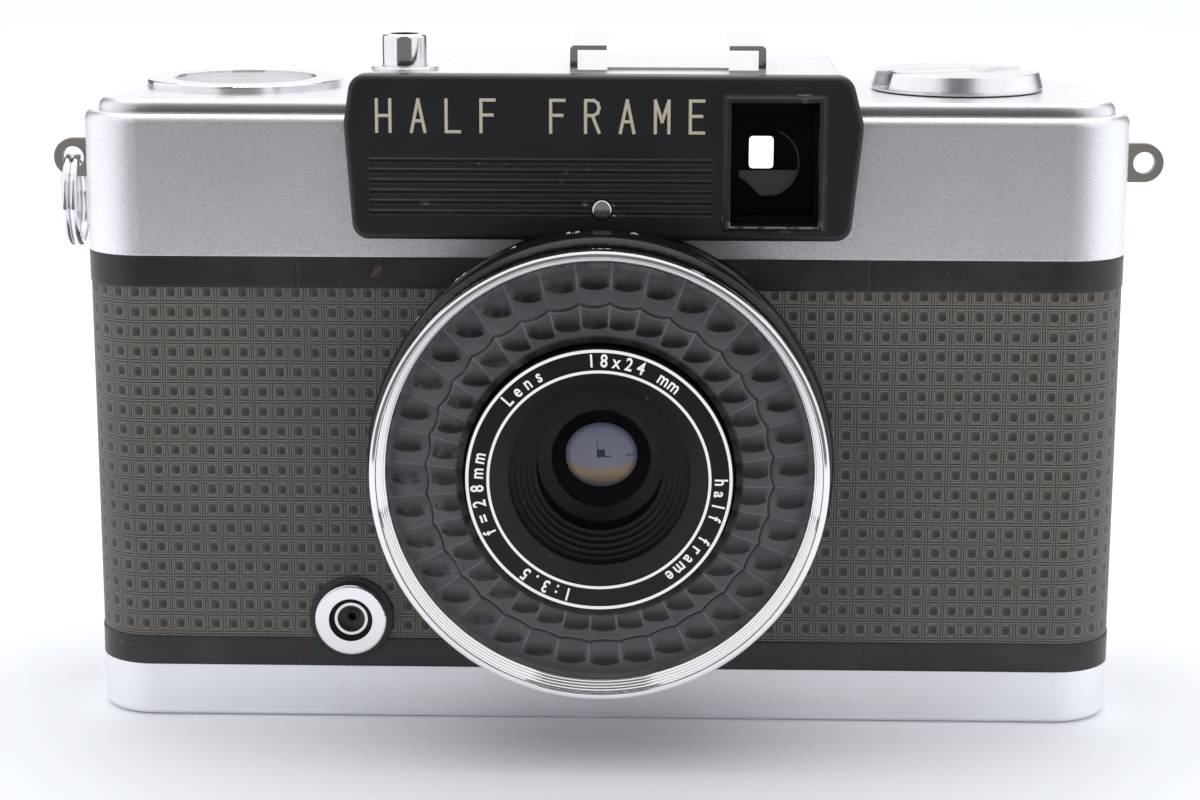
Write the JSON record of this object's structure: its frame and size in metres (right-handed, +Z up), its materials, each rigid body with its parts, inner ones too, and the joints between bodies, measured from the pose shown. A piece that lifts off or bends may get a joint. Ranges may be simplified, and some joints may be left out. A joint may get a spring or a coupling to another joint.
{
  "type": "half frame camera",
  "caption": "Compact half frame film camera with a lenslet meter ring round the lens, thumbwheel film advance, folding rewind crank, accessory shoe and hinged back.",
  "frame": {"origin": "centre of the tripod socket's mouth, on the camera's base, at the middle of the body's width and depth", "axes": "+Z up, +X across the width towards the rewind crank's end, -Y out of the front, along the lens axis"},
  "size_m": [0.1176, 0.0496, 0.0718],
  "materials": {
    "satin_chrome": "satin",
    "bright_chrome": "polished",
    "black_paint": "semi-gloss",
    "black_alloy": "black paint, semi-gloss",
    "grey_anodised": "matte",
    "leatherette": "embossed",
    "clear_glass": "polished",
    "bubble_glass": "moulded",
    "selenium": "matte",
    "plated_steel": "satin",
    "blued_steel": "satin",
    "black_plastic": "gloss",
    "white_paint": "satin",
    "red_plastic": "gloss",
    "nickel": "satin"
  },
  "bodies": {
    "camera": {"bottom_plate": "satin_chrome", "tripod_bush": "satin_chrome", "top_cover": "satin_chrome", "button_collar": "satin_chrome", "base_screws": "satin_chrome", "counter_bezel": "bright_chrome", "index_pin": "bright_chrome", "accessory_shoe": "bright_chrome", "sync_socket_ring": "bright_chrome", "fascia": "black_paint", "viewfinder_tunnel": "black_paint", "eyepiece_frame": "black_paint", "lens_flange": "black_alloy", "body_casting": "black_alloy", "front_plate": "black_alloy", "name_ring": "black_alloy", "lens_barrel": "black_alloy", "shutter_housing": "grey_anodised", "front_covering_left": "leatherette", "front_covering_right": "leatherette", "viewfinder_window": "clear_glass", "viewfinder_objective": "clear_glass", "eyepiece_lens": "clear_glass", "counter_window": "clear_glass", "front_element": "clear_glass", "rear_element": "clear_glass", "bubble_glass": "bubble_glass", "selenium_cell": "selenium", "strap_lug_left": "plated_steel", "strap_lug_right": "plated_steel", "counter_bridge": "plated_steel", "hinge_pin": "plated_steel", "galvanometer": "plated_steel", "sync_socket_contacts": "nickel"},
    "release": {"shutter_button": "bright_chrome", "release_rod": "plated_steel", "button_spring": "plated_steel"},
    "advance_wheel": {"advance_thumbwheel": "black_plastic"},
    "sprocket": {"film_sprocket": "nickel"},
    "take_up": {"take_up_spool": "black_plastic"},
    "counter": {"counter_dial": "white_paint"},
    "rewind_lift": {"rewind_collar": "plated_steel"},
    "rewind": {"rewind_knob": "satin_chrome", "rewind_shaft": "plated_steel"},
    "crank": {"rewind_crank": "bright_chrome"},
    "handle": {"crank_handle": "bright_chrome"},
    "aperture_ring": {"aperture_ring": "black_alloy"},
    "aperture_blade_left": {"aperture_blade_left": "blued_steel"},
    "aperture_blade_right": {"aperture_blade_right": "blued_steel"},
    "film_speed_ring": {"film_speed_ring": "bright_chrome"},
    "shutter_blade_left": {"shutter_blade_left": "blued_steel"},
    "shutter_blade_right": {"shutter_blade_right": "blued_steel"},
    "needle": {"meter_needle": "white_paint"},
    "flag": {"low_light_flag": "red_plastic"},
    "door": {"back_door": "black_alloy", "door_covering": "leatherette"},
    "pressure_plate": {"pressure_plate": "plated_steel"},
    "latch": {"door_latch": "satin_chrome"},
    "rewind_release": {"rewind_release_button": "satin_chrome"},
    "split_ring": {"split_ring": "bright_chrome"}
  },
  "joints": [
    {"name": "shutter_press", "type": "slide", "parent": "camera", "child": "release", "axis": [0, 0, -1], "range_m": [0, 0.0022], "stiffness_N_per_m": 250, "springref_m": -0.002, "deforming": ["button_spring"]},
    {"name": "advance_spin", "type": "hinge", "parent": "camera", "child": "advance_wheel", "pos_m": [-0.0292, 0.0048, 0.0525], "axis": [0, 0, 1], "continuous": true},
    {"name": "sprocket_spin", "type": "hinge", "parent": "camera", "child": "sprocket", "pos_m": [-0.019, 0.0044, 0.0305], "axis": [0, 0, 1], "continuous": true},
    {"name": "take_up_spin", "type": "hinge", "parent": "camera", "child": "take_up", "pos_m": [-0.0406, 0.001, 0.0305], "axis": [0, 0, 1], "continuous": true},
    {"name": "counter_spin", "type": "hinge", "parent": "camera", "child": "counter", "pos_m": [-0.0391, 0.0029, 0.064], "axis": [0, 0, 1], "continuous": true},
    {"name": "rewind_lift", "type": "slide", "parent": "camera", "child": "rewind_lift", "axis": [0, 0, 1], "range_m": [0, 0.005]},
    {"name": "rewind_spin", "type": "hinge", "parent": "rewind_lift", "child": "rewind", "pos_m": [0.0373, 0.00125, 0.06], "axis": [0, 0, 1], "continuous": true},
    {"name": "crank_fold", "type": "hinge", "parent": "rewind", "child": "crank", "pos_m": [0.04012, 0.00228, 0.06675], "axis": [-0.342, 0.9397, 0], "range_deg": [0, 165]},
    {"name": "handle_spin", "type": "hinge", "parent": "crank", "child": "handle", "pos_m": [0.03147, -0.00087, 0.0663], "axis": [0, 0, 1], "continuous": true},
    {"name": "aperture_turn", "type": "hinge", "parent": "camera", "child": "aperture_ring", "pos_m": [0, -0.02, 0.0305], "axis": [0, 1, 0], "range_deg": [0, 120]},
    {"name": "aperture_blade_left_swing", "type": "hinge", "parent": "camera", "child": "aperture_blade_left", "pos_m": [-0.00813, -0.02, 0.03863], "axis": [0, 1, 0], "range_deg": [0, 18]},
    {"name": "aperture_blade_right_swing", "type": "hinge", "parent": "camera", "child": "aperture_blade_right", "pos_m": [0.00813, -0.0194, 0.02237], "axis": [0, 1, 0], "range_deg": [0, 18]},
    {"name": "film_speed_turn", "type": "hinge", "parent": "camera", "child": "film_speed_ring", "pos_m": [0, -0.03, 0.0305], "axis": [0, 1, 0], "range_deg": [-45, 45]},
    {"name": "shutter_blade_left_swing", "type": "hinge", "parent": "camera", "child": "shutter_blade_left", "pos_m": [-0.0115, -0.0185, 0.0305], "axis": [0, 1, 0], "range_deg": [0, 50], "stiffness_Nm_per_rad": 0.00002, "springref_deg": -20.05},
    {"name": "shutter_blade_right_swing", "type": "hinge", "parent": "camera", "child": "shutter_blade_right", "pos_m": [0.0115, -0.018, 0.0305], "axis": [0, 1, 0], "range_deg": [0, 50]},
    {"name": "needle_swing", "type": "hinge", "parent": "camera", "child": "needle", "pos_m": [-0.005, -0.005, 0.0602], "axis": [0, 0, 1], "range_deg": [-25, 25]},
    {"name": "flag_rise", "type": "hinge", "parent": "camera", "child": "flag", "pos_m": [0.017, 0.002, 0.05415], "axis": [1, 0, 0], "range_deg": [0, 80]},
    {"name": "door_open", "type": "hinge", "parent": "camera", "child": "door", "pos_m": [-0.0536, 0.0094, 0.0275], "axis": [0, 0, 1], "range_deg": [0, 120]},
    {"name": "pressure_plate_press", "type": "slide", "parent": "door", "child": "pressure_plate", "axis": [0, 1, 0], "range_m": [0, 0.0008], "stiffness_N_per_m": 400, "springref_m": -0.001},
    {"name": "latch_slide", "type": "slide", "parent": "camera", "child": "latch", "axis": [0, 0, 1], "range_m": [0, 0.003], "stiffness_N_per_m": 100, "springref_m": -0.002},
    {"name": "rewind_release_press", "type": "slide", "parent": "camera", "child": "rewind_release", "axis": [0, 0, 1], "range_m": [0, 0.0012], "stiffness_N_per_m": 250, "springref_m": -0.001},
    {"name": "ring_swing", "type": "hinge", "parent": "camera", "child": "split_ring", "pos_m": [-0.0568, -0.003, 0.0582], "axis": [0, 1, 0], "range_deg": [-3, 100]}
  ],
  "couplings": [
    {"joint": "sprocket_spin", "follows": "advance_spin", "ratio": -1.2174},
    {"joint": "take_up_spin", "follows": "advance_spin", "ratio": -0.875},
    {"joint": "counter_spin", "follows": "advance_spin", "ratio": 0.0304},
    {"joint": "aperture_blade_left_swing", "follows": "aperture_turn", "ratio": 0.15},
    {"joint": "aperture_blade_right_swing", "follows": "aperture_turn", "ratio": 0.15},
    {"joint": "shutter_blade_right_swing", "follows": "shutter_blade_left_swing", "ratio": 1}
  ]
}
